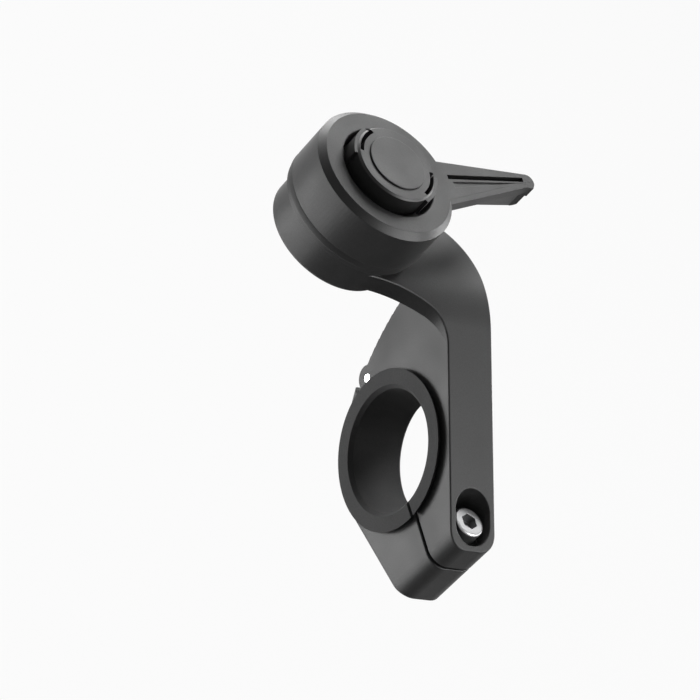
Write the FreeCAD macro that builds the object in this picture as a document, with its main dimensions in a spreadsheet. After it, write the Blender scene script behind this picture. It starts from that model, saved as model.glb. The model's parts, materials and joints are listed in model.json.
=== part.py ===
import FreeCAD, Part
import math
import os

import Sketcher
from FreeCAD import Vector

# Out-front phone mount for a bicycle handlebar, in millimetres.
# The origin is the middle of the handlebar bore. X points forward, Y to the rider's left
# along the bar, and Z is up, square to the face that carries the phone.

doc = FreeCAD.newDocument("phone_mount")
sheet = doc.addObject("Spreadsheet::Sheet", "Sizes")

SIZES = {
    # Handlebar clamp
    "bar_radius": 15.9,
    "shim_wall": 1.6,
    "shim_flange_radius": 21.0,
    "shim_flange_thickness": 1.2,
    "shim_flange_bevel": 1.0,
    "shim_mouth_chamfer": 1.0,
    "shim_slit": 1.0,
    "arm_width": 14.0,
    "split_height": 1.6,
    "split_gap": 0.8,
    "split_edge_round": 0.3,
    "jaw_outer_radius": 22.4,
    "jaw_rise_angle": 15.8,
    "jaw_edge_round": 0.8,
    "jaw_clearance": 0.3,
    # Hinge between arm and jaw
    "hinge_x": 23.1,
    "hinge_z": -1.0,
    "pin_radius": 1.3,
    "pin_end_chamfer": 0.2,
    "pin_clearance": 0.05,
    "lug_radius": 3.5,
    "lug_front_angle": 20.0,
    "lug_gap": 1.9,
    "tongue_width": 6.0,
    "tongue_neck_angle": 50.0,
    "shoulder_rise": 2.5,
    # Clamp bolt and its insert
    "bolt_x": -28.0,
    "bolt_seat": 7.0,
    "bolt_head_radius": 4.25,
    "bolt_head_height": 5.0,
    "bolt_head_round": 0.6,
    "bolt_socket_flats": 4.0,
    "bolt_socket_depth": 2.6,
    "bolt_length": 16.0,
    "bolt_root_radius": 2.05,
    "bolt_thread_depth": 0.5,
    "bolt_hole_clearance": 0.3,
    "pocket_half_width": 5.3,
    "pocket_back": 1.0,
    "pocket_front": 1.6,
    "pocket_edge_round": 0.3,
    "tail_reach": 7.7,
    "tail_corner_radius": 4.6,
    "insert_depth": 3.2,
    "insert_length": 8.0,
    "insert_radius": 3.4,
    "insert_flange_radius": 4.2,
    "insert_flange_thickness": 1.0,
    # Arm
    "slope_angle": 23.8,
    "slope_at_bolt": 13.5,
    "elbow_top": 35.8,
    "elbow_thickness": 5.4,
    "elbow_under_round": 1.0,
    "elbow_blend_radius": 30.0,
    "front_top_x": 34.5,
    "front_radius": 75.0,
    "front_lean_angle": 80.0,
    "flare_radius": 6.5,
    "near_wall_start": 0.55,
    "near_sweep_radius": 40.0,
    "far_bend_x": 29.0,
    "far_bend_radius": 20.0,
    "arm_edge_round": 0.4,
    # Head base
    "head_x": 43.0,
    "head_y": 32.0,
    "base_bottom": 28.2,
    "base_radius": 17.5,
    "base_edge_round": 1.0,
    "cup_wall": 2.0,
    "cup_floor": 3.0,
    "cup_top": 48.0,
    "pillar_radius": 11.0,
    "key_width": 4.0,
    "key_reach": 1.2,
    # Release sleeve and lever
    "sleeve_bottom": 38.5,
    "sleeve_top": 54.8,
    "sleeve_radius": 19.75,
    "sleeve_chamfer": 1.6,
    "sleeve_band_height": 1.4,
    "sleeve_band_step": 0.35,
    "sleeve_bore_radius": 13.2,
    "sleeve_plate": 2.2,
    "sleeve_shelf": 2.0,
    "sleeve_running_gap": 0.4,
    "sleeve_stop_gap": 0.3,
    "sleeve_edge_round": 0.4,
    "lever_thickness": 4.2,
    "lever_rear_chamfer": 1.0,
    "lever_root_front": 6.85,
    "lever_root_rear": 7.7,
    "lever_tip_front": 8.75,
    "lever_tip_rear": 5.15,
    "lever_reach": 48.5,
    "lever_tip_radius": 2.2,
    "lever_grip_start": 28.8,
    "lever_grip_angle": 15.6,
    "lever_grip_nose": 2.0,
    "lever_lip": 0.3,
    "lever_slot_root": 2.4,
    "lever_slot_tip": 6.5,
    "lever_slot_width": 1.3,
    "lever_slot_end": 3.8,
    "lever_slot_depth": 1.8,
    "lever_panel_root": -0.7,
    "lever_panel_depth": 0.35,
    # Locking post
    "post_top": 58.5,
    "post_flange": 2.0,
    "post_flange_gap": 0.3,
    "post_neck_radius": 9.3,
    "post_lug_radius": 11.3,
    "post_lug_height": 5.5,
    "post_edge_chamfer": 0.5,
    "catch_radius": 12.2,
    "catch_slot_inner": 9.7,
    "catch_slot_outer": 10.7,
    "catch_start_angle": 30.5,
    "catch_end_angle": 77.0,
    "catch_notch_angle": 5.0,
    "catch_root_angle": 5.0,
    "catch_mirror_angle": -33.0,
    "cap_radius": 8.0,
    "cap_thickness": 1.6,
    "cap_proud": 0.4,
    "cap_edge_round": 0.2,
    # Fasteners and cover under the base, and the return spring
    "post_screw_radius": 2.0,
    "post_screw_head_radius": 3.8,
    "post_screw_head_height": 2.6,
    "post_screw_length": 16.0,
    "post_screw_shoulder": 36.0,
    "cover_radius": 13.4,
    "cover_thickness": 2.0,
    "cover_clearance": 0.15,
    "cover_screw_spacing": 18.5,
    "cover_screw_radius": 1.2,
    "cover_screw_head_radius": 2.3,
    "cover_screw_length": 7.0,
    "spring_radius": 13.2,
    "spring_wire_radius": 0.6,
    "spring_turns": 4.0,
    "spring_end_gap": 0.1,
}

for row, (alias, value) in enumerate(SIZES.items(), start=1):
    sheet.set("A%d" % row, alias)
    sheet.set("B%d" % row, str(value))
    sheet.setAlias("B%d" % row, alias)
doc.recompute()

places = {}


def place(formula):
    """Work a formula out in the sheet. Returns the cell's reference and its value."""
    if formula not in places:
        cell = "D%d" % (len(places) + 1)
        sheet.set(cell, "=" + formula)
        sheet.recompute()
        places[formula] = ("Sizes." + cell, float(sheet.get(cell)))
    return places[formula]


def bind(item, prop, formula):
    """Tie one property of an object to a formula of the sheet."""
    item.setExpression(prop, place(formula)[0])


def new_body(label, shift=("0", "0", "0")):
    body = doc.addObject("PartDesign::Body", label)
    for axis, formula in zip("xyz", shift):
        bind(body, "Placement.Base." + axis, formula)
    return body


def new_sketch(body, name, plane, shift=("0", "0", "0")):
    """Start a sketch on one of the body's own planes, shifted in that plane's own axes."""
    sketch = body.newObject("Sketcher::SketchObject", body.Label + "_" + name)
    support = [item for item in body.Origin.OriginFeatures if item.Role == plane]
    sketch.AttachmentSupport = [(support[0], "")]
    sketch.MapMode = "FlatFace"
    for axis, formula in zip("xyz", shift):
        bind(sketch, "AttachmentOffset.Base." + axis, formula)
    return sketch


def limit(sketch, kind, item, end, formula):
    """Add one dimension that a formula of the sheet drives."""
    reference, value = place(formula)
    values = (kind, item, value) if end is None else (kind, item, end, value)
    index = sketch.addConstraint(Sketcher.Constraint(*values))
    sketch.setExpression("Constraints[%d]" % index, reference)


def arc_between(start, end, radius, left):
    """The shorter arc from start to end, turning left or right."""
    chord = end - start
    rise = math.sqrt(max(radius ** 2 - chord.Length ** 2 / 4, 0.0))
    side = Vector(-chord.y, chord.x, 0).normalize()
    centre = (start + end) / 2 + side * (rise if left else -rise)
    circle = Part.Circle(centre, Vector(0, 0, 1), radius)
    first, last = (start, end) if left else (end, start)
    return Part.ArcOfCircle(circle, circle.parameter(first), circle.parameter(last))


def outline(sketch, corners):
    """Draw a closed outline through corners (x, y). A third entry, "left" or "right" with a
    radius, makes the edge that leads to that corner an arc that turns that way."""
    spots = [Vector(place(corner[0])[1], place(corner[1])[1], 0) for corner in corners]
    ends = []
    for number, corner in enumerate(corners):
        start, end = spots[number - 1], spots[number]
        if len(corner) == 2:
            item = sketch.addGeometry(Part.LineSegment(start, end), False)
            ends.append((item, 1, 2))
            continue
        turn, radius = corner[2]
        left = turn == "left"
        item = sketch.addGeometry(arc_between(start, end, place(radius)[1], left), False)
        ends.append((item, 1, 2) if left else (item, 2, 1))
    for number, corner in enumerate(corners):
        item, _, last = ends[number]
        following, first, _ = ends[(number + 1) % len(corners)]
        sketch.addConstraint(Sketcher.Constraint("Coincident", item, last, following, first))
        limit(sketch, "DistanceX", item, last, corner[0])
        limit(sketch, "DistanceY", item, last, corner[1])
        if len(corner) == 3:
            limit(sketch, "Radius", item, None, corner[2][1])


def circle(sketch, x, y, radius):
    centre = Vector(place(x)[1], place(y)[1], 0)
    item = sketch.addGeometry(Part.Circle(centre, Vector(0, 0, 1), place(radius)[1]), False)
    limit(sketch, "DistanceX", item, 3, x)
    limit(sketch, "DistanceY", item, 3, y)
    limit(sketch, "Radius", item, None, radius)


def extrude(body, sketch, kind, length=None, side="One side", reverse=False):
    """Pad or pocket a sketch. With no length the cut goes through everything."""
    feature = body.newObject("PartDesign::" + kind, sketch.Label + "_" + kind.lower())
    feature.Profile = sketch
    feature.SideType = side
    feature.Reversed = reverse
    if length is None:
        feature.Type = "ThroughAll"
    else:
        bind(feature, "Length", length)
    return feature


def revolve(body, sketch, kind="Revolution"):
    """Turn a sketch about its own upright axis."""
    feature = body.newObject("PartDesign::" + kind, sketch.Label + "_" + kind.lower())
    feature.Profile = sketch
    feature.ReferenceAxis = (sketch, ["V_Axis"])
    feature.Angle = 360
    return feature


def normals_at(shape, edge):
    """Outward normals of the faces that meet at the middle of an edge."""
    middle = edge.valueAt((edge.FirstParameter + edge.LastParameter) / 2)
    faces = shape.ancestorsOfType(edge, Part.Face)
    return [face.normalAt(*face.Surface.parameter(middle)) for face in faces]


def dress(body, kind, size, wanted):
    """Round or chamfer every edge of the body's tip that the test picks by itself and its normals."""
    doc.recompute()
    base = body.Tip
    names = []
    for number, edge in enumerate(base.Shape.Edges, start=1):
        if wanted(edge, normals_at(base.Shape, edge)):
            names.append("Edge%d" % number)
    feature = body.newObject("PartDesign::" + kind, "%s_%s" % (base.Label, kind.lower()))
    feature.Base = (base, names)
    bind(feature, "Radius" if kind == "Fillet" else "Size", size)
    return feature


# Places that several pieces share
CLAMP_BORE = "(bar_radius + shim_wall)"
JAW_BORE = "(bar_radius + shim_wall + jaw_clearance)"
HALF = "(arm_width / 2)"
TAIL_X = "(bolt_x - tail_reach)"
ARM_SPLIT = "(split_height + split_gap / 2)"
JAW_SPLIT = "(split_height - split_gap / 2)"
LUG_BOTTOM = "(hinge_z - lug_radius)"
JAW_TOP = "(hinge_z - lug_radius - lug_gap)"
ELBOW_BOTTOM = "(elbow_top - elbow_thickness)"
ROUGH_TOP = "(elbow_top + arm_width / 2)"
MARGIN = "(arm_width / 4)"
INSERT_TOP = "(%s - insert_depth)" % JAW_SPLIT
INSERT_SEAT = "(%s - insert_length)" % INSERT_TOP
POST_SEAT = "(cup_top - sleeve_stop_gap)"
COVER_TOP = "(base_bottom + cover_thickness)"
CUP_FLOOR = "(base_bottom + cover_thickness + cup_floor)"
HEAD = ("head_x", "head_y", "0")

# How close an edge counts as lying at a place, and how steep a normal's rise is on level and upright faces
NEAR = 0.01
LEVEL_RISE = 0.8
UPRIGHT_RISE = 0.3


def borders_wall(normals, up):
    """True where a face that looks up, or down, meets an upright wall."""
    rises = sorted(normal.z if up else -normal.z for normal in normals)
    return rises[-1] > LEVEL_RISE and abs(rises[0]) < UPRIGHT_RISE


def follows_circle(edge, radius):
    return isinstance(edge.Curve, Part.Circle) and abs(edge.Curve.Radius - SIZES[radius]) < NEAR


def round_split(body, level, up):
    """Round the rim of the arm's or jaw's tail where the clamp is split."""
    def rim(edge, normals):
        centre = edge.CenterOfMass
        behind = centre.x < -place(JAW_BORE)[1]
        return behind and abs(centre.z - place(level)[1]) < NEAR and borders_wall(normals, up)

    dress(body, "Fillet", "split_edge_round", rim)


def round_tail(body):
    """Cut the tail of the arm or jaw to a blunt end with round corners, seen from above."""
    sketch = new_sketch(body, "tail", "XY_Plane")
    corner_x = "%s + tail_corner_radius" % TAIL_X
    corner_y = "%s - tail_corner_radius" % HALF
    outline(sketch, [
        (corner_x, HALF),
        (TAIL_X, corner_y, ("left", "tail_corner_radius")),
        (TAIL_X, "-(%s)" % corner_y),
        (corner_x, "-" + HALF, ("left", "tail_corner_radius")),
        (corner_x, "-%s - %s" % (HALF, MARGIN)),
        ("%s - %s" % (TAIL_X, MARGIN), "-%s - %s" % (HALF, MARGIN)),
        ("%s - %s" % (TAIL_X, MARGIN), "%s + %s" % (HALF, MARGIN)),
        (corner_x, "%s + %s" % (HALF, MARGIN)),
    ])
    extrude(body, sketch, "Pocket", side="Symmetric")


def make_arm():
    """Arm with the upper half of the clamp, the hinge lugs, the cranked elbow and the base cup."""
    body = new_body("arm")

    side = new_sketch(body, "side", "XZ_Plane")
    flare_x = "front_top_x + flare_radius * sin(front_lean_angle)"
    outline(side, [
        (TAIL_X, ARM_SPLIT),
        ("-sqrt(%s^2 - %s^2)" % (CLAMP_BORE, ARM_SPLIT), ARM_SPLIT),
        ("0", CLAMP_BORE, ("right", CLAMP_BORE)),
        ("sqrt(%s^2 - %s^2)" % (CLAMP_BORE, LUG_BOTTOM), LUG_BOTTOM, ("right", CLAMP_BORE)),
        ("hinge_x", LUG_BOTTOM),
        ("hinge_x + lug_radius * cos(lug_front_angle)",
         "hinge_z + lug_radius * sin(lug_front_angle)", ("left", "lug_radius")),
        ("front_top_x", "%s - flare_radius * (1 - cos(front_lean_angle))" % ELBOW_BOTTOM,
         ("left", "front_radius")),
        (flare_x, ELBOW_BOTTOM, ("right", "flare_radius")),
        (flare_x, ROUGH_TOP),
        (TAIL_X, ROUGH_TOP),
    ])
    extrude(body, side, "Pad", "arm_width", side="Symmetric")

    far = new_sketch(body, "far_bend", "XY_Plane")
    far_y = "far_bend_radius - %s" % HALF
    outline(far, [
        ("far_bend_x", "-" + HALF),
        ("far_bend_x + far_bend_radius", far_y, ("left", "far_bend_radius")),
        ("far_bend_x + 2 * far_bend_radius", far_y),
        ("far_bend_x + 2 * far_bend_radius", "-%s - %s" % (HALF, MARGIN)),
        ("far_bend_x", "-%s - %s" % (HALF, MARGIN)),
    ])
    extrude(body, far, "Pocket", side="Symmetric")

    # The near edge leaves the side face, just where the slope has risen above the elbow's underside,
    # in a tight arc that runs into a wide one, which meets the base
    elbow = new_sketch(body, "elbow", "XY_Plane", ("0", "0", ELBOW_BOTTOM))
    start_x = "(bolt_x + (%s + near_wall_start - slope_at_bolt) / tan(slope_angle))" % ELBOW_BOTTOM
    sweep_x = "(head_x - base_radius - near_sweep_radius)"
    along = "(%s - %s)" % (start_x, sweep_x)
    across = "(head_y - %s)" % HALF
    tight = "((near_sweep_radius^2 - %s^2 - %s^2) / (2 * (near_sweep_radius - %s)))" % (along, across, across)
    share = "(%s / (near_sweep_radius - %s))" % (tight, tight)
    outline(elbow, [
        (start_x, "-" + HALF),
        (start_x, HALF),
        ("%s + %s * %s" % (start_x, along, share),
         "%s + %s - (%s - %s) * %s" % (HALF, tight, across, tight, share), ("left", tight)),
        ("head_x - base_radius", "head_y", ("left", "near_sweep_radius")),
        ("far_bend_x + far_bend_radius", "head_y"),
        ("far_bend_x + far_bend_radius", far_y),
        ("far_bend_x", "-" + HALF, ("right", "far_bend_radius")),
    ])
    extrude(body, elbow, "Pad", "%s - %s" % (ROUGH_TOP, ELBOW_BOTTOM))

    # The sloped back and the flat elbow, trimmed in one cut from side to side
    top = new_sketch(body, "top", "XZ_Plane")
    bend_x = "(bolt_x + (elbow_top - slope_at_bolt) / tan(slope_angle))"
    tangent = "(elbow_blend_radius * tan(slope_angle / 2))"
    outline(top, [
        ("%s - %s" % (TAIL_X, MARGIN), "slope_at_bolt - (tail_reach + %s) * tan(slope_angle)" % MARGIN),
        ("%s - %s * cos(slope_angle)" % (bend_x, tangent), "elbow_top - %s * sin(slope_angle)" % tangent),
        ("%s + %s" % (bend_x, tangent), "elbow_top", ("right", "elbow_blend_radius")),
        ("head_x + base_radius + %s" % MARGIN, "elbow_top"),
        ("head_x + base_radius + %s" % MARGIN, "%s + %s" % (ROUGH_TOP, MARGIN)),
        ("%s - %s" % (TAIL_X, MARGIN), "%s + %s" % (ROUGH_TOP, MARGIN)),
    ])
    extrude(body, top, "Pocket", side="Symmetric")
    round_tail(body)

    def outside_base(edge):
        return edge.CenterOfMass.y < SIZES["head_y"] - NEAR

    def top_edge(edge, normals):
        return outside_base(edge) and borders_wall(normals, True)

    def under_edge(edge, normals):
        centre = edge.CenterOfMass
        low = abs(centre.z - place(ELBOW_BOTTOM)[1]) < NEAR
        far = centre.x > SIZES["front_top_x"]
        return low and far and outside_base(edge) and borders_wall(normals, False)

    def front_edge(edge, _):
        at_side = abs(edge.CenterOfMass.y - place(HALF)[1]) < NEAR
        return at_side and follows_circle(edge, "front_radius")

    dress(body, "Fillet", "arm_edge_round", top_edge)
    dress(body, "Fillet", "arm_edge_round", front_edge)
    dress(body, "Fillet", "elbow_under_round", under_edge)
    round_split(body, ARM_SPLIT, False)

    cup = new_sketch(body, "cup", "XZ_Plane", ("head_x", "0", "-head_y"))
    outline(cup, [
        ("0", "base_bottom"),
        ("base_radius - base_edge_round", "base_bottom"),
        ("base_radius", "base_bottom + base_edge_round", ("left", "base_edge_round")),
        ("base_radius", "cup_top"),
        ("0", "cup_top"),
    ])
    revolve(body, cup)

    cavity = new_sketch(body, "cavity", "XZ_Plane", ("head_x", "0", "-head_y"))
    outline(cavity, [
        ("0", POST_SEAT),
        ("pillar_radius", POST_SEAT),
        ("pillar_radius", CUP_FLOOR),
        ("base_radius - cup_wall", CUP_FLOOR),
        ("base_radius - cup_wall", "cup_top + cup_wall"),
        ("0", "cup_top + cup_wall"),
    ])
    revolve(body, cavity, "Groove")

    # A rib on the pillar keeps the sleeve from turning
    key = new_sketch(body, "key", "XY_Plane", ("head_x", "head_y", CUP_FLOOR))
    outline(key, [
        ("0", "-key_width / 2"),
        ("pillar_radius + key_reach", "-key_width / 2"),
        ("pillar_radius + key_reach", "key_width / 2"),
        ("0", "key_width / 2"),
    ])
    extrude(body, key, "Pad", "%s - %s" % (POST_SEAT, CUP_FLOOR))

    under = new_sketch(body, "underside", "XZ_Plane", ("head_x", "0", "-head_y"))
    outline(under, [
        ("0", "base_bottom - cup_floor"),
        ("cover_radius + cover_clearance", "base_bottom - cup_floor"),
        ("cover_radius + cover_clearance", COVER_TOP),
        ("post_screw_head_radius + cover_clearance", COVER_TOP),
        ("post_screw_head_radius + cover_clearance", "post_screw_shoulder"),
        ("post_screw_radius + cover_clearance", "post_screw_shoulder"),
        ("post_screw_radius + cover_clearance", "cup_top + cup_floor"),
        ("0", "cup_top + cup_floor"),
    ])
    revolve(body, under, "Groove")

    pilots = new_sketch(body, "pilots", "XY_Plane", ("0", "0", COVER_TOP))
    for sign in ("+", "-"):
        circle(pilots, "head_x", "head_y %s cover_screw_spacing / 2" % sign, "cover_screw_radius")
    extrude(body, pilots, "Pocket", "cover_screw_length", reverse=True)

    pocket = new_sketch(body, "bolt_pocket", "XY_Plane", ("0", "0", "bolt_seat"))
    back = "bolt_x - pocket_back"
    front = "bolt_x + pocket_front"
    outline(pocket, [
        (front, "-pocket_half_width"),
        ("%s + pocket_half_width" % front, "0", ("left", "pocket_half_width")),
        (front, "pocket_half_width", ("left", "pocket_half_width")),
        (back, "pocket_half_width"),
        ("%s - pocket_half_width" % back, "0", ("left", "pocket_half_width")),
        (back, "-pocket_half_width", ("left", "pocket_half_width")),
    ])
    extrude(body, pocket, "Pocket", reverse=True)

    def pocket_edge(edge, normals):
        centre = edge.CenterOfMass
        along = abs(centre.x - SIZES["bolt_x"]) < SIZES["tail_reach"]
        across = abs(centre.y) < SIZES["pocket_half_width"] + NEAR
        return along and across and centre.z > SIZES["bolt_seat"] + NEAR and borders_wall(normals, True)

    dress(body, "Fillet", "pocket_edge_round", pocket_edge)

    hole = new_sketch(body, "bolt_hole", "XY_Plane", ("0", "0", "bolt_seat"))
    circle(hole, "bolt_x", "0", "bolt_root_radius + bolt_thread_depth + bolt_hole_clearance")
    extrude(body, hole, "Pocket")

    slot = new_sketch(body, "hinge_slot", "XZ_Plane")
    slot_radius = "lug_radius + split_gap"
    outline(slot, [
        ("hinge_x + " + slot_radius, "%s - lug_radius" % LUG_BOTTOM),
        ("hinge_x + " + slot_radius, "hinge_z"),
        ("hinge_x", "hinge_z + " + slot_radius, ("left", slot_radius)),
        ("hinge_x - (%s)" % slot_radius, "hinge_z", ("left", slot_radius)),
        ("hinge_x - (%s)" % slot_radius, "%s - lug_radius" % LUG_BOTTOM),
    ])
    extrude(body, slot, "Pocket", "tongue_width + 2 * jaw_clearance", side="Symmetric")

    pin_hole = new_sketch(body, "pin_hole", "XZ_Plane")
    circle(pin_hole, "hinge_x", "hinge_z", "pin_radius")
    extrude(body, pin_hole, "Pocket", side="Symmetric")
    return body


def make_jaw():
    """Lower half of the clamp: a curved jaw with a hinge tongue and a pocket for the insert."""
    body = new_body("clamp_jaw")

    side = new_sketch(body, "side", "XZ_Plane")
    away = "(jaw_outer_radius + shoulder_rise)"
    shoulder_x = "sqrt(%s^2 - %s^2)" % (away, JAW_TOP)
    touch = "(atan2(%s; %s) - acos(jaw_outer_radius / %s))" % (JAW_TOP, shoulder_x, away)
    run = "(%s + jaw_outer_radius * sin(jaw_rise_angle))" % TAIL_X
    corner_z = "(-jaw_outer_radius * cos(jaw_rise_angle) - %s * tan(jaw_rise_angle))" % run
    outline(side, [
        (TAIL_X, JAW_SPLIT),
        ("-sqrt(%s^2 - %s^2)" % (JAW_BORE, JAW_SPLIT), JAW_SPLIT),
        ("0", "-" + JAW_BORE, ("left", JAW_BORE)),
        ("sqrt(%s^2 - %s^2)" % (JAW_BORE, JAW_TOP), JAW_TOP, ("left", JAW_BORE)),
        (shoulder_x, JAW_TOP),
        ("jaw_outer_radius * cos(%s)" % touch, "jaw_outer_radius * sin(%s)" % touch),
        ("-jaw_outer_radius * sin(jaw_rise_angle)", "-jaw_outer_radius * cos(jaw_rise_angle)",
         ("right", "jaw_outer_radius")),
        (TAIL_X, corner_z),
    ])
    extrude(body, side, "Pad", "arm_width", side="Symmetric")
    round_tail(body)

    def low_rim(edge, normals):
        return edge.CenterOfMass.x < 0 and borders_wall(normals, False)

    dress(body, "Fillet", "jaw_edge_round", low_rim)
    round_split(body, JAW_SPLIT, True)

    tongue = new_sketch(body, "tongue", "XZ_Plane")
    outline(tongue, [
        ("hinge_x + lug_radius * cos(tongue_neck_angle)", "hinge_z - lug_radius * sin(tongue_neck_angle)"),
        ("hinge_x + lug_radius", "hinge_z", ("left", "lug_radius")),
        ("hinge_x", "hinge_z + lug_radius", ("left", "lug_radius")),
        ("hinge_x - lug_radius", "hinge_z", ("left", "lug_radius")),
        ("hinge_x - lug_radius", "%s - lug_gap" % JAW_TOP),
        ("hinge_x - lug_radius / 2", "%s - lug_gap" % JAW_TOP),
    ])
    extrude(body, tongue, "Pad", "tongue_width", side="Symmetric")

    pin_hole = new_sketch(body, "pin_hole", "XZ_Plane")
    circle(pin_hole, "hinge_x", "hinge_z", "pin_radius + pin_clearance")
    extrude(body, pin_hole, "Pocket", side="Symmetric")

    seat = new_sketch(body, "insert_seat", "XZ_Plane", ("bolt_x", "0", "0"))
    clear = "bolt_root_radius + 2 * bolt_thread_depth"
    outline(seat, [
        ("0", "%s + split_gap" % JAW_SPLIT),
        (clear, "%s + split_gap" % JAW_SPLIT),
        (clear, INSERT_TOP),
        ("insert_radius", INSERT_TOP),
        ("insert_radius", INSERT_SEAT),
        ("insert_flange_radius", INSERT_SEAT),
        ("insert_flange_radius", "-2 * jaw_outer_radius"),
        ("0", "-2 * jaw_outer_radius"),
    ])
    revolve(body, seat, "Groove")
    return body


def make_insert():
    """Threaded insert that the clamp bolt pulls up against a shoulder in the jaw."""
    body = new_body("jaw_insert")
    section = new_sketch(body, "section", "XZ_Plane", ("bolt_x", "0", "0"))
    bore = "bolt_root_radius + bolt_thread_depth"
    outline(section, [
        (bore, "%s - insert_flange_thickness" % INSERT_SEAT),
        ("insert_flange_radius", "%s - insert_flange_thickness" % INSERT_SEAT),
        ("insert_flange_radius", INSERT_SEAT),
        ("insert_radius", INSERT_SEAT),
        ("insert_radius", INSERT_TOP),
        (bore, INSERT_TOP),
    ])
    revolve(body, section)
    return body


def make_pin():
    """Steel hinge pin, pressed into the arm's lugs and flush with its sides."""
    body = new_body("hinge_pin")
    section = new_sketch(body, "section", "XZ_Plane")
    circle(section, "hinge_x", "hinge_z", "pin_radius")
    extrude(body, section, "Pad", "arm_width", side="Symmetric")
    dress(body, "Chamfer", "pin_end_chamfer", lambda edge, _: isinstance(edge.Curve, Part.Circle))
    return body


def make_bolt():
    """Socket-head clamp bolt, with its seat at the body's own origin."""
    body = new_body("clamp_bolt", ("bolt_x", "0", "bolt_seat"))
    section = new_sketch(body, "section", "XZ_Plane")
    outline(section, [
        ("0", "-bolt_length"),
        ("bolt_root_radius - bolt_thread_depth", "-bolt_length"),
        ("bolt_root_radius", "bolt_thread_depth - bolt_length"),
        ("bolt_root_radius", "0"),
        ("bolt_head_radius", "0"),
        ("bolt_head_radius", "bolt_head_height - bolt_head_round"),
        ("bolt_head_radius - bolt_head_round", "bolt_head_height", ("left", "bolt_head_round")),
        ("0", "bolt_head_height"),
    ])
    revolve(body, section)
    socket = new_sketch(body, "socket", "XY_Plane", ("0", "0", "bolt_head_height"))
    corner = "(bolt_socket_flats / (2 * cos(30)))"
    outline(socket, [
        ("%s * cos(%d)" % (corner, angle), "%s * sin(%d)" % (corner, angle)) for angle in range(0, 360, 60)
    ])
    extrude(body, socket, "Pocket", "bolt_socket_depth")
    return body


def make_shim():
    """Split ring that lines the clamp, with a flange on each side of it."""
    body = new_body("bar_shim")
    section = new_sketch(body, "section", "XY_Plane")
    face = "(%s + jaw_clearance + shim_flange_thickness)" % HALF
    inner = "(%s + jaw_clearance)" % HALF
    outline(section, [
        ("bar_radius", "shim_mouth_chamfer - " + face),
        ("bar_radius + shim_mouth_chamfer", "-" + face),
        ("shim_flange_radius", "-" + face),
        ("shim_flange_radius - shim_flange_bevel", "-" + inner),
        (CLAMP_BORE, "-" + inner),
        (CLAMP_BORE, inner),
        ("shim_flange_radius - shim_flange_bevel", inner),
        ("shim_flange_radius", face),
        ("bar_radius + shim_mouth_chamfer", face),
        ("bar_radius", face + " - shim_mouth_chamfer"),
    ])
    revolve(body, section)
    slit = new_sketch(body, "slit", "XZ_Plane")
    low = "split_height - shim_slit / 2"
    high = "split_height + shim_slit / 2"
    outline(slit, [
        ("-2 * shim_flange_radius", low),
        ("-bar_radius / 2", low),
        ("-bar_radius / 2", high),
        ("-2 * shim_flange_radius", high),
    ])
    extrude(body, slit, "Pocket", side="Symmetric")
    return body


def lever_edge(side, distance):
    """Distance forward of the lever's front or rear edge, so far out from the head's axis."""
    ends = {"front": ("lever_root_front", "lever_tip_front"), "rear": ("-lever_root_rear", "lever_tip_rear")}
    root, tip = ends[side]
    share = "(%s - sleeve_bore_radius) / (lever_reach - lever_tip_radius - sleeve_bore_radius)" % distance
    return "(%s + (%s - (%s)) * %s)" % (root, tip, root, share)


def lever_outline(root, inset):
    """The lever's outline from its root to its tip, seen from above and drawn in by the inset."""
    tip = "(lever_reach - lever_tip_radius)"
    radius = "(lever_tip_radius - %s)" % inset
    front = "(%s - %s)" % (lever_edge("front", tip), inset)
    rear = "(%s + %s)" % (lever_edge("rear", tip), inset)
    end = "%s - lever_reach" % inset
    return [
        ("%s - %s" % (lever_edge("front", root), inset), "-" + root),
        (front, "-" + tip),
        ("%s - %s" % (front, radius), end, ("right", radius)),
        (rear, end),
        (rear, "-" + tip),
        ("%s + %s" % (lever_edge("rear", root), inset), "-" + root),
    ]


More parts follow.
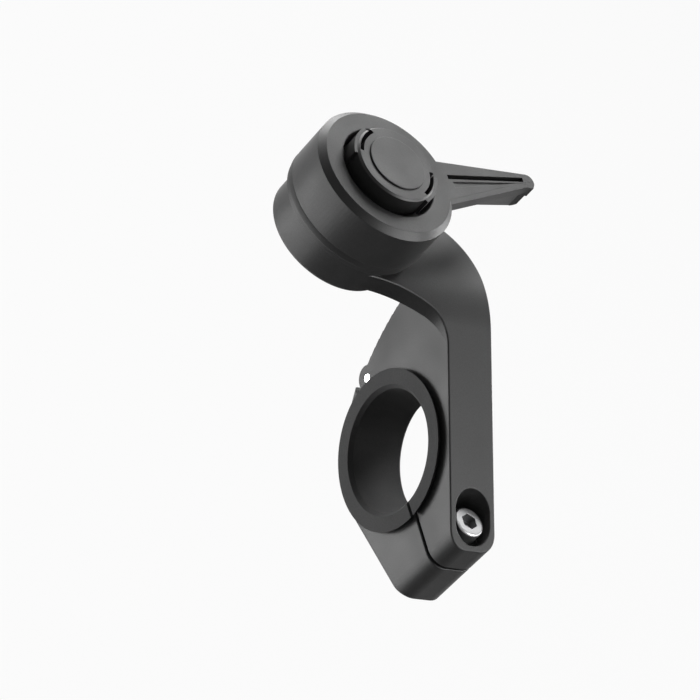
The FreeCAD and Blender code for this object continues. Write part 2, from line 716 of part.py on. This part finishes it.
def make_sleeve():
    """Spring-loaded release sleeve with its lever, moulded as one piece."""
    body = new_body("release_sleeve", HEAD)
    section = new_sketch(body, "section", "XZ_Plane")
    skirt = "base_radius + sleeve_running_gap"
    tube = "base_radius - cup_wall - sleeve_running_gap"
    shelf_top = "(%s - sleeve_stop_gap)" % POST_SEAT
    band = "sleeve_radius - sleeve_band_step"
    outline(section, [
        ("pillar_radius + sleeve_running_gap", "%s - sleeve_shelf" % shelf_top),
        (tube, "%s - sleeve_shelf" % shelf_top),
        (tube, "sleeve_top - sleeve_plate"),
        (skirt, "sleeve_top - sleeve_plate"),
        (skirt, "sleeve_bottom"),
        (band, "sleeve_bottom"),
        (band, "sleeve_bottom + sleeve_band_height - sleeve_band_step"),
        ("sleeve_radius", "sleeve_bottom + sleeve_band_height"),
        ("sleeve_radius", "sleeve_top - sleeve_chamfer"),
        ("sleeve_radius - sleeve_chamfer", "sleeve_top"),
        ("sleeve_bore_radius", "sleeve_top"),
        ("sleeve_bore_radius", shelf_top),
        ("pillar_radius + sleeve_running_gap", shelf_top),
    ])
    revolve(body, section)

    # The lever's plate, then the grip under it, which is a lip narrower all round
    plate_bottom = "(sleeve_top - lever_thickness)"
    plate = new_sketch(body, "lever", "XY_Plane", ("0", "0", plate_bottom))
    outline(plate, lever_outline("(sleeve_radius - sleeve_chamfer - sleeve_plate)", "0"))
    extrude(body, plate, "Pad", "lever_thickness")

    grip_low = "(%s - (lever_reach - lever_grip_start) * tan(lever_grip_angle))" % plate_bottom
    grip = new_sketch(body, "grip", "XY_Plane", ("0", "0", grip_low))
    outline(grip, lever_outline("lever_grip_start", "lever_lip"))
    extrude(body, grip, "Pad", "sleeve_top - lever_thickness / 2 - %s" % grip_low)

    # The grip deepens from the lever's root to its blunt nose
    slope = new_sketch(body, "grip_slope", "YZ_Plane")
    outline(slope, [
        ("-lever_grip_start", plate_bottom),
        ("lever_grip_nose * cos(lever_grip_angle) - lever_reach",
         "%s + lever_grip_nose * sin(lever_grip_angle)" % grip_low),
        ("-lever_reach", "%s + lever_grip_nose" % grip_low, ("right", "2 * lever_grip_nose")),
        ("-lever_reach", "%s - lever_thickness" % grip_low),
        ("-lever_grip_start", "%s - lever_thickness" % grip_low),
    ])
    extrude(body, slope, "Pocket", side="Symmetric")

    def rear_edge(edge, normals):
        faces_back = any(normal.x < -LEVEL_RISE for normal in normals)
        return faces_back and edge.CenterOfMass.y < -SIZES["sleeve_radius"] and borders_wall(normals, True)

    def bore_edge(edge, _):
        at_top = abs(edge.CenterOfMass.z - SIZES["sleeve_top"]) < NEAR
        return at_top and follows_circle(edge, "sleeve_bore_radius")

    def front_edge(edge, normals):
        faces_back = any(normal.x < -LEVEL_RISE for normal in normals)
        beyond = edge.CenterOfMass.y < -SIZES["sleeve_radius"]
        return beyond and not faces_back and borders_wall(normals, True)

    dress(body, "Chamfer", "lever_rear_chamfer", rear_edge)
    dress(body, "Fillet", "sleeve_edge_round", bore_edge)
    dress(body, "Fillet", "sleeve_edge_round", front_edge)

    slot_start = "(sleeve_radius - lever_slot_width / 2)"
    slot_end = "(lever_reach - lever_slot_end)"
    slot = new_sketch(body, "lever_slot", "XY_Plane", ("0", "0", "sleeve_top"))
    outline(slot, [
        ("lever_slot_root - lever_slot_width / 2", "-" + slot_start),
        ("lever_slot_root + lever_slot_width / 2", "-" + slot_start),
        ("lever_slot_tip + lever_slot_width / 2", "-" + slot_end),
        ("lever_slot_tip - lever_slot_width / 2", "-" + slot_end),
    ])
    extrude(body, slot, "Pocket", "lever_slot_depth")

    notch = new_sketch(body, "key_notch", "XY_Plane", ("0", "0", shelf_top))
    notch_half = "(key_width / 2 + sleeve_running_gap)"
    notch_reach = "pillar_radius + key_reach + sleeve_running_gap"
    outline(notch, [
        ("0", "-" + notch_half),
        (notch_reach, "-" + notch_half),
        (notch_reach, notch_half),
        ("0", notch_half),
    ])
    extrude(body, notch, "Pocket", "sleeve_shelf")

    panel = new_sketch(body, "lever_panel", "XY_Plane", ("0", "0", "sleeve_top"))
    outline(panel, [
        ("lever_slot_root - lever_slot_width", "-sleeve_radius - lever_slot_width / 2"),
        ("lever_slot_tip - lever_slot_width", "-%s + lever_slot_width" % slot_end),
        ("lever_panel_root", "-sleeve_radius - lever_slot_width / 2"),
    ])
    extrude(body, panel, "Pocket", "lever_panel_depth")
    return body


def sector(sketch, inner, outer, first, last):
    """Draw part of a ring about the sketch's origin, between two angles."""
    outline(sketch, [
        ("%s * cos(%s)" % (outer, first), "%s * sin(%s)" % (outer, first)),
        ("%s * cos(%s)" % (outer, last), "%s * sin(%s)" % (outer, last), ("left", outer)),
        ("%s * cos(%s)" % (inner, last), "%s * sin(%s)" % (inner, last)),
        ("%s * cos(%s)" % (inner, first), "%s * sin(%s)" % (inner, first), ("right", inner)),
    ])


def make_post():
    """Bayonet post that the phone case turns onto, with two spring catches in its rim."""
    body = new_body("locking_post", HEAD)
    section = new_sketch(body, "section", "XZ_Plane")
    lug_bottom = "(post_top - post_lug_height)"
    flange = "sleeve_bore_radius - post_flange_gap"
    outline(section, [
        ("0", POST_SEAT),
        (flange, POST_SEAT),
        (flange, POST_SEAT + " + post_flange"),
        ("post_neck_radius", POST_SEAT + " + post_flange"),
        ("post_neck_radius", lug_bottom),
        ("post_lug_radius", lug_bottom),
        ("post_lug_radius", "post_top - post_edge_chamfer"),
        ("post_lug_radius - post_edge_chamfer", "post_top"),
        ("0", "post_top"),
    ])
    revolve(body, section)

    # A catch is a tongue of the rim behind a curved slot, free at the notch. The second mirrors the first.
    first, last = "catch_start_angle", "catch_end_angle"
    half_notch = "catch_notch_angle / 2"
    mirror = "2 * catch_mirror_angle - "
    catches = [
        ("right", (first, "(%s + catch_root_angle)" % last), (first, last),
         ("(%s - %s)" % (first, half_notch), "(%s + %s)" % (first, half_notch))),
        ("left", ("(%s%s - catch_root_angle)" % (mirror, last), "(%s%s)" % (mirror, first)),
         ("(%s%s)" % (mirror, last), "(%s%s)" % (mirror, first)),
         ("(%s%s - %s)" % (mirror, first, half_notch), "(%s%s + %s)" % (mirror, first, half_notch))),
    ]
    for name, tongue_angles, slot_angles, notch_angles in catches:
        tongue = new_sketch(body, name + "_catch", "XY_Plane", ("0", "0", lug_bottom))
        sector(tongue, "catch_slot_outer", "catch_radius", *tongue_angles)
        extrude(body, tongue, "Pad", "post_lug_height - post_edge_chamfer")
        slot = new_sketch(body, name + "_slot", "XY_Plane", ("0", "0", "post_top"))
        sector(slot, "catch_slot_inner", "catch_slot_outer", *slot_angles)
        extrude(body, slot, "Pocket", "post_lug_height + post_edge_chamfer")
        notch = new_sketch(body, name + "_notch", "XY_Plane", ("0", "0", "post_top"))
        sector(notch, "catch_slot_inner", "sleeve_bore_radius", *notch_angles)
        extrude(body, notch, "Pocket", "post_lug_height + post_edge_chamfer")

    recess = new_sketch(body, "recess", "XY_Plane", ("0", "0", "post_top"))
    circle(recess, "0", "0", "cap_radius")
    extrude(body, recess, "Pocket", "cap_thickness - cap_proud")

    screw = new_sketch(body, "screw_hole", "XY_Plane", ("0", "0", POST_SEAT))
    circle(screw, "0", "0", "post_screw_radius")
    extrude(body, screw, "Pocket", "post_screw_length + post_screw_shoulder - %s" % POST_SEAT, reverse=True)
    return body


def make_cap():
    """Plain disc set into the top of the post."""
    body = new_body("post_cap", HEAD)
    face = new_sketch(body, "face", "XY_Plane", ("0", "0", "post_top + cap_proud - cap_thickness"))
    circle(face, "0", "0", "cap_radius")
    extrude(body, face, "Pad", "cap_thickness")
    dress(body, "Fillet", "cap_edge_round", lambda edge, normals: borders_wall(normals, True))
    return body


def make_post_screw():
    """Screw that draws the post down onto the base from below."""
    body = new_body("post_screw", HEAD)
    section = new_sketch(body, "section", "XZ_Plane")
    outline(section, [
        ("0", "post_screw_shoulder - post_screw_head_height"),
        ("post_screw_head_radius", "post_screw_shoulder - post_screw_head_height"),
        ("post_screw_head_radius", "post_screw_shoulder"),
        ("post_screw_radius", "post_screw_shoulder"),
        ("post_screw_radius", "post_screw_shoulder + post_screw_length"),
        ("0", "post_screw_shoulder + post_screw_length"),
    ])
    revolve(body, section)
    return body


def make_cover():
    """Round cover under the base, which hides the post's screw."""
    body = new_body("base_cover", HEAD)
    face = new_sketch(body, "face", "XY_Plane", ("0", "0", "base_bottom"))
    circle(face, "0", "0", "cover_radius")
    extrude(body, face, "Pad", "cover_thickness")
    for sign in ("", "-"):
        hole = new_sketch(body, "hole", "XZ_Plane", ("0", "0", sign + "cover_screw_spacing / 2"))
        sink = "(cover_screw_head_radius - cover_screw_radius)"
        outline(hole, [
            ("0", "base_bottom - cover_clearance"),
            ("cover_screw_head_radius + cover_clearance", "base_bottom - cover_clearance"),
            ("cover_screw_head_radius + cover_clearance", "base_bottom"),
            ("cover_screw_radius + cover_clearance", "base_bottom + " + sink),
            ("cover_screw_radius + cover_clearance", COVER_TOP + " + cover_clearance"),
            ("0", COVER_TOP + " + cover_clearance"),
        ])
        revolve(body, hole, "Groove")
    return body


def make_cover_screws():
    """Two countersunk screws that hold the cover, as one group."""
    screws = []
    for side, sign in (("left", ""), ("right", "-")):
        place_y = "head_y + %scover_screw_spacing / 2" % sign
        body = new_body("cover_screw_" + side, ("head_x", place_y, "base_bottom"))
        section = new_sketch(body, "section", "XZ_Plane")
        outline(section, [
            ("0", "0"),
            ("cover_screw_head_radius", "0"),
            ("cover_screw_radius", "cover_screw_head_radius - cover_screw_radius"),
            ("cover_screw_radius", "cover_screw_length"),
            ("0", "cover_screw_length"),
        ])
        revolve(body, section)
        screws.append(body)
    group = doc.addObject("Part::Compound", "cover_screws")
    group.Links = screws
    return group


def make_spring():
    """Compression spring between the base and the sleeve's shelf."""
    spine = doc.addObject("Part::Helix", "spring_line")
    shelf_bottom = "(%s - sleeve_stop_gap - sleeve_shelf)" % POST_SEAT
    height = "(%s - spring_end_gap - %s - 2 * spring_wire_radius)" % (shelf_bottom, CUP_FLOOR)
    bind(spine, "Radius", "spring_radius")
    bind(spine, "Height", height)
    bind(spine, "Pitch", "%s / spring_turns" % height)
    start = "%s + spring_wire_radius" % CUP_FLOOR
    for axis, formula in zip("xyz", ("head_x", "head_y", start)):
        bind(spine, "Placement.Base." + axis, formula)
    wire = doc.addObject("Part::Circle", "spring_wire")
    bind(wire, "Radius", "spring_wire_radius")
    wire.Placement.Rotation = FreeCAD.Rotation(Vector(1, 0, 0), 90)
    for axis, formula in zip("xyz", ("head_x + spring_radius", "head_y", start)):
        bind(wire, "Placement.Base." + axis, formula)
    doc.recompute()
    spring = doc.addObject("Part::Sweep", "return_spring")
    spring.Sections = [wire]
    spring.Spine = (spine, ["Edge%d" % number for number in range(1, len(spine.Shape.Edges) + 1)])
    spring.Solid = True
    spring.Frenet = True
    return spring


PARTS = [
    make_arm(), make_jaw(), make_insert(), make_pin(), make_bolt(), make_shim(), make_sleeve(),
    make_post(), make_cap(), make_post_screw(), make_cover(), make_cover_screws(), make_spring(),
]


def check_document():
    """Stop before anything is written if a feature failed, did nothing or is not sound."""
    for item in doc.Objects:
        if "Invalid" in item.State or "Error" in item.State:
            raise RuntimeError("%s failed: %s" % (item.Label, item.State))
    for part in PARTS:
        if part.Shape.isNull() or not part.Shape.isValid():
            raise RuntimeError("%s has no sound shape" % part.Label)
        before = None
        for feature in getattr(part, "Group", []):
            if not hasattr(feature, "AddSubShape") and not hasattr(feature, "Base"):
                continue
            volume = feature.Shape.Volume
            if before is not None and abs(volume - before) < 1e-6:
                raise RuntimeError("%s changed nothing" % feature.Label)
            before = volume


doc.recompute()
check_document()
os.makedirs("parts", exist_ok=True)
for part in PARTS:
    part.Shape.exportStep("parts/%s.step" % part.Label)
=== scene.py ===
import json
import math

import bmesh
import bpy
from mathutils import Matrix, Vector


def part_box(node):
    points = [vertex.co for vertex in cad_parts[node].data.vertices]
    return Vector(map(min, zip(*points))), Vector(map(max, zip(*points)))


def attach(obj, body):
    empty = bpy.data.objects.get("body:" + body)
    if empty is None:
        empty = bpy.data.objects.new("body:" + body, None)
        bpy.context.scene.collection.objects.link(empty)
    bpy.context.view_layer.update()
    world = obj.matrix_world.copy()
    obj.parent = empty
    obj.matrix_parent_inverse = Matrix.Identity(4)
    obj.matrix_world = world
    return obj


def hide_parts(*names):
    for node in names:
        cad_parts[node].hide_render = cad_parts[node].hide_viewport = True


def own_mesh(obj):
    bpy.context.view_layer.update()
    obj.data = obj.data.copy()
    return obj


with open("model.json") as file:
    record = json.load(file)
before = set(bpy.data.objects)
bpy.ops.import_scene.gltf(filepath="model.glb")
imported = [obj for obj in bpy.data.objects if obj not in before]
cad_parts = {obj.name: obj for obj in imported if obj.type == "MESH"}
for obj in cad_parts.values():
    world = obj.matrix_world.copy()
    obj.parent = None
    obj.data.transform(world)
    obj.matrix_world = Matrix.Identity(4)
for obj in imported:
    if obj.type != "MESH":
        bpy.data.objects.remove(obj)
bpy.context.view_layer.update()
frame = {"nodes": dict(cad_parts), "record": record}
scene = bpy.context.scene
MM = 0.001
FULL_TURN = 2 * math.pi


# Materials

def new_material(name):
    """An empty node material: its tree, its shader and the piece's own coordinates."""
    material = bpy.data.materials.new(name)
    material.use_nodes = True
    tree = material.node_tree
    shader = tree.nodes["Principled BSDF"]
    place = tree.nodes.new("ShaderNodeTexCoord").outputs["Object"]
    return material, tree, shader, place


def noise(tree, place, size, detail):
    """Noise whose spots are about that many metres across."""
    node = tree.nodes.new("ShaderNodeTexNoise")
    node.inputs["Scale"].default_value = 1 / size
    node.inputs["Detail"].default_value = detail
    tree.links.new(place, node.inputs["Vector"])
    return node.outputs["Fac"]


def spread(tree, value, low, high, start=0.3, end=0.7):
    """Stretch a value from start and end, by default the range of most noise, to low and high."""
    node = tree.nodes.new("ShaderNodeMapRange")
    for name, level in (("From Min", start), ("From Max", end), ("To Min", low), ("To Max", high)):
        node.inputs[name].default_value = level
    tree.links.new(value, node.inputs["Value"])
    return node.outputs["Result"]


def socket_of(sockets, name, kind):
    """The one socket that has this name and holds this kind of value."""
    return next(item for item in sockets if item.name == name and item.type == kind)


def mix_shades(tree, value, first, second):
    """A colour between two, by a value. Each is a shade or another node's colour."""
    node = tree.nodes.new("ShaderNodeMix")
    node.data_type = "RGBA"
    for letter, shade in (("A", first), ("B", second)):
        socket = socket_of(node.inputs, letter, "RGBA")
        if isinstance(shade, tuple):
            socket.default_value = (*shade, 1)
        else:
            tree.links.new(shade, socket)
    tree.links.new(value, socket_of(node.inputs, "Factor", "VALUE"))
    return socket_of(node.outputs, "Result", "RGBA")


def scaled(shade, factor):
    """A shade made darker or lighter."""
    return tuple(level * factor for level in shade)


def broken_edges(tree, radius):
    """The normal of a surface whose edges are broken, and a value that is one along those edges."""
    most_turned = 0.8
    least_turned = 0.99
    edges = tree.nodes.new("ShaderNodeBevel")
    edges.samples = 6
    edges.inputs["Radius"].default_value = radius
    true_normal = tree.nodes.new("ShaderNodeNewGeometry").outputs["Normal"]
    turned = tree.nodes.new("ShaderNodeVectorMath")
    turned.operation = "DOT_PRODUCT"
    tree.links.new(edges.outputs["Normal"], turned.inputs[0])
    tree.links.new(true_normal, turned.inputs[1])
    along = spread(tree, turned.outputs["Value"], 1, 0, most_turned, least_turned)
    return edges.outputs["Normal"], along


def relief(tree, height, depth, normal):
    """Bump from a height, on top of another normal."""
    node = tree.nodes.new("ShaderNodeBump")
    node.inputs["Distance"].default_value = depth
    tree.links.new(height, node.inputs["Height"])
    tree.links.new(normal, node.inputs["Normal"])
    return node.outputs["Normal"]


def plastic(name, shade, gloss, grain, shine=0.14):
    """Moulded plastic with an eroded tool's grain, uneven gloss, slow changes of tone and a painted
    highlight along its edges.
    """
    patch_size = 14 * MM
    patch_share = 0.3
    grain_depth = 0.02 * MM
    edge_radius = 0.15 * MM
    highlight_share = 0.5
    uneven = 0.05
    dull, dark, light, highlight = [scaled(shade, factor) for factor in (0.75, 0.9, 1.1, 1.5)]
    material, tree, shader, place = new_material(name)
    patches = noise(tree, place, patch_size, 3)
    speckle = noise(tree, place, grain, 2)
    normal, edges = broken_edges(tree, edge_radius)
    body = mix_shades(tree, spread(tree, speckle, 0, 1), dark, light)
    cloudy = mix_shades(tree, spread(tree, patches, 0, patch_share), body, dull)
    # Painted highlight: the edges get a lighter colour, standing in for light that catches them
    highlighted = mix_shades(tree, spread(tree, edges, 0, highlight_share, 0, 1), cloudy, highlight)
    roughness = spread(tree, patches, gloss - uneven, gloss + uneven)
    tree.links.new(highlighted, shader.inputs["Base Color"])
    tree.links.new(roughness, shader.inputs["Roughness"])
    tree.links.new(relief(tree, speckle, grain_depth, normal), shader.inputs["Normal"])
    shader.inputs["Specular IOR Level"].default_value = shine
    return material


def metal(name, shade, gloss):
    """Machined metal with fine turning marks and a slight unevenness."""
    mark_length = 0.9 * MM
    mark_narrowing = 9
    mark_depth = 0.004 * MM
    edge_radius = 0.08 * MM
    highlight_share = 0.6
    uneven = 0.06
    dark, light, highlight = [scaled(shade, factor) for factor in (0.88, 1.08, 1.15)]
    material, tree, shader, place = new_material(name)
    stretched = tree.nodes.new("ShaderNodeMapping")
    stretched.inputs["Scale"].default_value = (1, 1, mark_narrowing)
    tree.links.new(place, stretched.inputs["Vector"])
    marks = noise(tree, stretched.outputs["Vector"], mark_length, 3)
    normal, edges = broken_edges(tree, edge_radius)
    turned = mix_shades(tree, spread(tree, marks, 0, 1), dark, light)
    # Painted highlight: the edges get a lighter colour, standing in for light that catches them
    highlighted = mix_shades(tree, spread(tree, edges, 0, highlight_share, 0, 1), turned, highlight)
    roughness = spread(tree, marks, gloss - uneven, gloss + uneven)
    tree.links.new(highlighted, shader.inputs["Base Color"])
    tree.links.new(roughness, shader.inputs["Roughness"])
    tree.links.new(relief(tree, marks, mark_depth, normal), shader.inputs["Normal"])
    shader.inputs["Metallic"].default_value = 1
    return material


# Each finish's shade and roughness, a plastic's size of grain, and a weaker shine for the dull liner
MATERIALS = {
    "arm_plastic": plastic("arm_plastic", (0.08, 0.08, 0.0805), 0.44, 0.28 * MM),
    "sleeve_plastic": plastic("sleeve_plastic", (0.08, 0.08, 0.0805), 0.44, 0.24 * MM),
    "post_plastic": plastic("post_plastic", (0.075, 0.075, 0.0755), 0.42, 0.2 * MM),
    "shim_plastic": plastic("shim_plastic", (0.11, 0.11, 0.1105), 0.62, 0.24 * MM, 0.02),
    "steel": metal("steel", (0.72, 0.72, 0.72), 0.26),
    "brass": metal("brass", (0.76, 0.56, 0.27), 0.3),
}
BOLT_STEEL = metal("bolt_steel", (0.19, 0.19, 0.192), 0.38)


# Pieces

for part in frame["record"]["subparts"]:
    finish = BOLT_STEEL if part["node"] == "clamp_bolt" else MATERIALS[part["material_slot"]]
    slots = frame["nodes"][part["node"]].data.materials
    slots.clear()
    slots.append(finish)


def new_piece(name, shape, material, sharp=35):
    """An object from a bmesh, smooth but for edges sharper than an angle, with a slot's finish."""
    bmesh.ops.recalc_face_normals(shape, faces=shape.faces)
    mesh = bpy.data.meshes.new(name)
    shape.to_mesh(mesh)
    shape.free()
    mesh.shade_smooth()
    mesh.set_sharp_from_angle(angle=math.radians(sharp))
    mesh.materials.append(material)
    piece = bpy.data.objects.new(name, mesh)
    scene.collection.objects.link(piece)
    return piece


def middle_of(low, high):
    """The x and y of the middle of a box, from its two corners."""
    return (low[0] + high[0]) / 2, (low[1] + high[1]) / 2


def round_axis(middle, out, angle, height):
    """A point that far out from an upright axis, at an angle and a height."""
    return middle[0] + out * math.cos(angle), middle[1] + out * math.sin(angle), height


def join_rings(shape, rings):
    """Faces between rings of the same number of points, and one face at each end."""
    rings = [[shape.verts.new(point) for point in ring] for ring in rings]
    for first, second in zip(rings, rings[1:]):
        for turn in range(len(first)):
            after = (turn + 1) % len(first)
            shape.faces.new((first[turn], first[after], second[after], second[turn]))
    shape.faces.new(rings[0])
    shape.faces.new(rings[-1])


def hexagon(angle, flats):
    """How far a hexagon's outline is from its middle, at an angle."""
    side = math.radians(60)
    return flats / 2 / math.cos(angle % side - side / 2)


def socket_screws():
    """The cover's two countersunk screws with a hexagon socket in each head."""
    low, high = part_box("cover_screws")
    head = (high[0] - low[0]) / 2
    shank = 1.2 * MM
    flats = 1.5 * MM
    depth = 0.9 * MM
    rim = 0.1 * MM
    length = high[2] - low[2]
    around = 48
    angles = [FULL_TURN * step / around for step in range(around)]
    circles = ((head - rim, 0), (head, rim), (shank, head - shank), (shank, length))
    shape = bmesh.new()
    for middle_y in (low[1] + head, high[1] - head):
        middle = (low[0] + head, middle_y)
        rings = []
        for height in (depth, 0):
            rings.append([
                round_axis(middle, hexagon(angle, flats), angle, low[2] + height) for angle in angles])
        for radius, height in circles:
            rings.append([round_axis(middle, radius, angle, low[2] + height) for angle in angles])
        join_rings(shape, rings)
    piece = new_piece("socket_screws", shape, MATERIALS["steel"])
    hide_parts("cover_screws")
    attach(piece, "arm")


def bolt_thread():
    """The ridge that winds down the clamp bolt's shank."""
    low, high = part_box("clamp_bolt")
    middle = ((low[0] + high[0]) / 2, 0)
    root = 2.0 * MM
    crest = 2.45 * MM
    pitch = 0.8 * MM
    plain_top = 6.2 * MM
    plain_tip = 0.6 * MM
    # Each corner's share of the ridge's height, and its place along the axis in pitches
    corners = ((0, 0.42), (1, 0.07), (1, -0.07), (0, -0.42))
    around = 32
    top = high[2] - plain_top
    turns = int((top - low[2] - plain_tip) / pitch)
    last = turns * around
    rings = []
    for step in range(last + 1):
        angle = FULL_TURN * step / around
        fade = min(1, step / around, (last - step) / around)
        height = top - pitch * step / around
        rings.append([
            round_axis(middle, root + (crest - root) * share * fade, angle, height + along * pitch)
            for share, along in corners])
    shape = bmesh.new()
    join_rings(shape, rings)
    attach(new_piece("bolt_thread", shape, BOLT_STEEL), "bolt")


def pressed_spring():
    """The return spring, wound as in the solids."""
    low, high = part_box("return_spring")
    middle = middle_of(low, high)
    wire = 0.6 * MM
    coil = (high[0] - low[0]) / 2 - wire
    length = high[2] - low[2]
    rise = length - 2 * wire
    turns = 4
    around = 72
    sides = 14
    tilts = [FULL_TURN * side / sides for side in range(sides)]
    last = turns * around
    rings = []
    for step in range(last + 1):
        angle = FULL_TURN * step / around
        height = low[2] + wire + rise * step / last
        rings.append([
            round_axis(middle, coil + wire * math.cos(tilt), angle, height + wire * math.sin(tilt))
            for tilt in tilts])
    shape = bmesh.new()
    join_rings(shape, rings)
    piece = new_piece("pressed_spring", shape, MATERIALS["steel"])
    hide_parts("return_spring")
    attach(piece, "arm")
    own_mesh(piece)


def banded_sleeve():
    """The release sleeve with a flared band, set in below a fine step, round its skirt."""
    low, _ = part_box("release_sleeve")
    cover_low, cover_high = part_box("base_cover")
    middle_x, middle_y = middle_of(cover_low, cover_high)
    band_top = low[2] + 3.1 * MM
    fine_step = 0.08 * MM
    skirt = 19.75 * MM
    skirt_slack = 0.2 * MM
    inset = 0.4 * MM
    near = 0.02 * MM
    weld = 0.001 * MM
    shape = bmesh.new()
    shape.from_mesh(frame["nodes"]["release_sleeve"].data)
    bmesh.ops.remove_doubles(shape, verts=shape.verts, dist=weld)
    for height in (band_top, band_top + fine_step):
        bmesh.ops.bisect_plane(shape, geom=[*shape.verts, *shape.edges, *shape.faces], dist=weld,
                               plane_co=(0, 0, height), plane_no=(0, 0, 1))
    for vert in shape.verts:
        away = Vector((vert.co.x - middle_x, vert.co.y - middle_y))
        if abs(vert.co.z - band_top) < near and away.length > skirt - skirt_slack:
            away.length = skirt - inset
            vert.co.x = middle_x + away.x
            vert.co.y = middle_y + away.y
    piece = new_piece("banded_sleeve", shape, MATERIALS["sleeve_plastic"], sharp=8)
    evened = piece.modifiers.new("evened", "WEIGHTED_NORMAL")
    evened.keep_sharp = True
    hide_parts("release_sleeve")
    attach(piece, "sleeve")


socket_screws()
bolt_thread()
pressed_spring()
banded_sleeve()


# Floor, light and camera

FLOOR_SIZE = 6
FLOOR_HEIGHT = -0.42
FLOOR_SHADE = 0.82
FLOOR_WHITE = 0.94
WORLD_LIGHT = 0.04
AIM = Vector((0.02, 0.012, 0.02))

# Name, azimuth from +X and elevation in degrees, distance and size in metres, power in watts
LAMPS = (
    ("right", 320, 34, 0.9, 0.36, 4.8),
    ("low", 60, -42, 0.5, 0.22, 1.7),
    ("front", 0, 8, 0.9, 0.4, 1.0),
)
# The same for cards, which only show as reflections
CARDS = (
    ("low_card", 100, -40, 0.5, 0.3, 2.2),
    ("back_card", 220, 40, 0.9, 0.6, 25),
    ("side_card", 272, 8, 0.9, 0.4, 6),
    ("front_card", 358, 8, 0.9, 0.7, 12),
)


def seen_directly(tree):
    """One where the camera, a reflection or something clear looks at the surface, and zero elsewhere."""
    path = tree.nodes.new("ShaderNodeLightPath")
    total = path.outputs["Is Camera Ray"]
    for kind in ("Is Glossy Ray", "Is Transmission Ray"):
        either = tree.nodes.new("ShaderNodeMath")
        either.operation = "MAXIMUM"
        tree.links.new(total, either.inputs[0])
        tree.links.new(path.outputs[kind], either.inputs[1])
        total = either.outputs[0]
    return total


def mix_surfaces(tree, share, first, second, end):
    """Show a share of a second shader over a first one, at the node that ends the tree."""
    mix = tree.nodes.new("ShaderNodeMixShader")
    for number, source in enumerate((share, first, second)):
        tree.links.new(source, mix.inputs[number])
    tree.links.new(mix.outputs[0], tree.nodes[end].inputs["Surface"])


def pale_ground():
    """A wide pale floor, far below, since a handlebar holds the part up."""
    bpy.ops.mesh.primitive_plane_add(size=FLOOR_SIZE, location=(0, 0, FLOOR_HEIGHT))
    floor = bpy.context.object
    floor.name = "floor"
    material, tree, shader, _ = new_material("floor_paint")
    shader.inputs["Base Color"].default_value = (FLOOR_SHADE, FLOOR_SHADE, FLOOR_SHADE, 1)
    shader.inputs["Roughness"].default_value = 0.9
    shader.inputs["Specular IOR Level"].default_value = 0
    share = tree.nodes.new("ShaderNodeMath")
    share.operation = "MULTIPLY"
    share.inputs[1].default_value = FLOOR_WHITE
    tree.links.new(seen_directly(tree), share.inputs[0])
    white = tree.nodes.new("ShaderNodeEmission")
    mix_surfaces(tree, share.outputs[0], shader.outputs[0], white.outputs[0], "Material Output")
    floor.data.materials.append(material)


def pale_world():
    """Even light all round, and plain white where the camera or a reflection sees it."""
    world = bpy.data.worlds.new("studio")
    world.use_nodes = True
    scene.world = world
    tree = world.node_tree
    lit = tree.nodes["Background"]
    lit.inputs["Color"].default_value = (1, 1, 1, 1)
    lit.inputs["Strength"].default_value = WORLD_LIGHT
    white = tree.nodes.new("ShaderNodeBackground")
    white.inputs["Color"].default_value = (1, 1, 1, 1)
    mix_surfaces(tree, seen_directly(tree), lit.outputs[0], white.outputs[0], "World Output")


def softbox(name, azimuth, elevation, distance, size, power, sheen=False):
    """A square lamp on the part from one direction. One for sheen gives no diffuse light."""
    level = math.cos(math.radians(elevation))
    back = Vector((
        level * math.cos(math.radians(azimuth)),
        level * math.sin(math.radians(azimuth)),
        math.sin(math.radians(elevation))))
    lamp = bpy.data.lights.new(name, "AREA")
    lamp.size = size
    lamp.energy = power
    holder = bpy.data.objects.new(name, lamp)
    holder.location = AIM + back * distance
    holder.rotation_mode = "QUATERNION"
    holder.rotation_quaternion = (-back).to_track_quat("-Z", "Y")
    holder.visible_camera = False
    holder.visible_diffuse = not sheen
    scene.collection.objects.link(holder)


def photo_camera():
    """The photograph's own viewpoint, fitted to the bore, the flange and the head."""
    place = (-0.4437, 0.5399, 0.568)
    right = Vector((-0.2473, -0.8033, 0.5418))
    up = Vector((0.8167, 0.1281, 0.5627))
    forward = Vector((0.5214, -0.5816, -0.6243))
    lens = bpy.data.cameras.new("camera")
    lens.sensor_width = 36
    lens.lens = 181.95
    lens.clip_start = 0.01
    lens.clip_end = 20
    camera = bpy.data.objects.new("camera", lens)
    turn = Matrix((right, up, -forward)).transposed().to_4x4()
    camera.matrix_world = Matrix.Translation(place) @ turn
    scene.collection.objects.link(camera)
    scene.camera = camera


pale_ground()
pale_world()
for lamp_values in LAMPS:
    softbox(*lamp_values)
for card_values in CARDS:
    softbox(*card_values, sheen=True)
photo_camera()
scene.view_settings.view_transform = "Standard"
